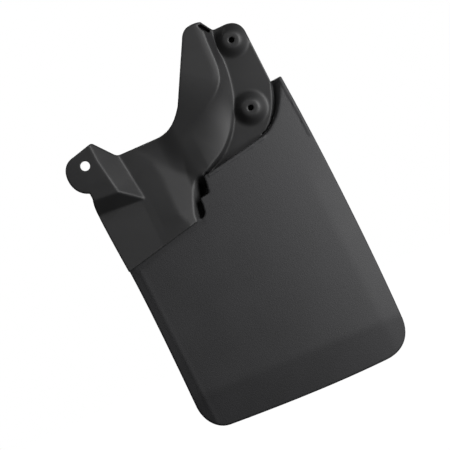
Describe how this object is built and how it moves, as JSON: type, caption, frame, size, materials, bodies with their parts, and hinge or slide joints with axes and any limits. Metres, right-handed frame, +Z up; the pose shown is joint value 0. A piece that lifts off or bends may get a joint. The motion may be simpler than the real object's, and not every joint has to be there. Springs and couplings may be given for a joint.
{
  "type": "mud flap",
  "caption": "Moulded mud flap: a dished flap panel lapped and screwed to a mounting bracket with a raised tab, a hollow hump and a screw plate.",
  "frame": {"origin": "centre of the whole flap's bounding box", "axes": "+Z up as the flap hangs, +X outboard away from the vehicle's middle, -Y the grained side that faces the road behind the wheel"},
  "size_m": [0.2286, 0.0502, 0.3696],
  "materials": {
    "bracket_plastic": "satin moulded black plastic, lightly textured",
    "panel_plastic": "moulded black plastic with a fine leather-like grain",
    "screw_steel": "zinc-plated steel"
  },
  "bodies": {
    "root": {"mounting_bracket": "bracket_plastic", "flap_panel": "panel_plastic", "joining_screw_1": "screw_steel", "joining_screw_2": "screw_steel", "joining_screw_3": "screw_steel", "joining_screw_4": "screw_steel", "joining_screw_5": "screw_steel", "joining_screw_6": "screw_steel"}
  },
  "joints": []
}
